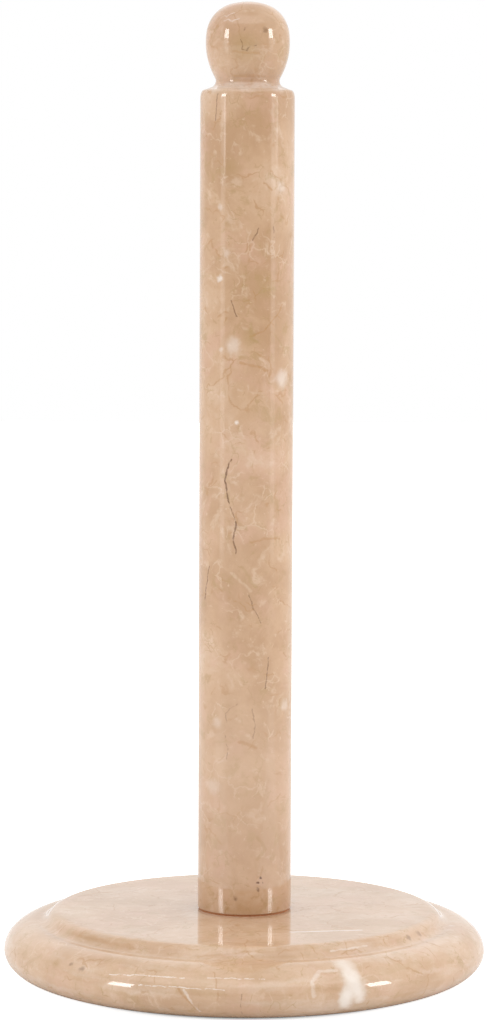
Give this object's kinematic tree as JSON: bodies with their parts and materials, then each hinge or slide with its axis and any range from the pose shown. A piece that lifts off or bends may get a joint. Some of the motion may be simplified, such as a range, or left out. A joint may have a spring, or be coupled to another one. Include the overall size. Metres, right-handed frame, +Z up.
{
  "type": "paper towel holder",
  "caption": "Upright countertop paper towel holder: a round marble base with a raised table and a fixed marble post with a ball top that a roll slides over.",
  "frame": {"origin": "on the countertop, under the middle of the round base", "axes": "+Z up along the post's axis; the holder is a turned shape, so +X and +Y are any two level directions at right angles, with the pads on the diagonals between them"},
  "size_m": [0.152, 0.152, 0.3067],
  "materials": {
    "marble": "polished beige marble with tan and pinkish clouds, fine dark veins and small white calcite spots",
    "fibre_gasket": "matt brown vulcanised fibre",
    "insert_brass": "turned, dull",
    "anchor_resin": "cured filled resin, off-white, satin",
    "zinc_steel": "bright zinc plated",
    "spring_steel": "dull grey zinc on spring steel",
    "black_rubber": "matt moulded rubber",
    "pad_rubber": "matt cellular rubber with a fine skin"
  },
  "bodies": {
    "root": {"base": "marble", "post": "marble", "seat_gasket": "fibre_gasket", "threaded_insert": "insert_brass", "insert_resin": "anchor_resin", "tie_bolt": "zinc_steel", "spring_washer": "spring_steel", "plate_washer": "zinc_steel", "cushion_washer": "black_rubber", "non_slip_pad_1": "pad_rubber", "non_slip_pad_2": "pad_rubber", "non_slip_pad_3": "pad_rubber", "non_slip_pad_4": "pad_rubber"}
  },
  "joints": []
}
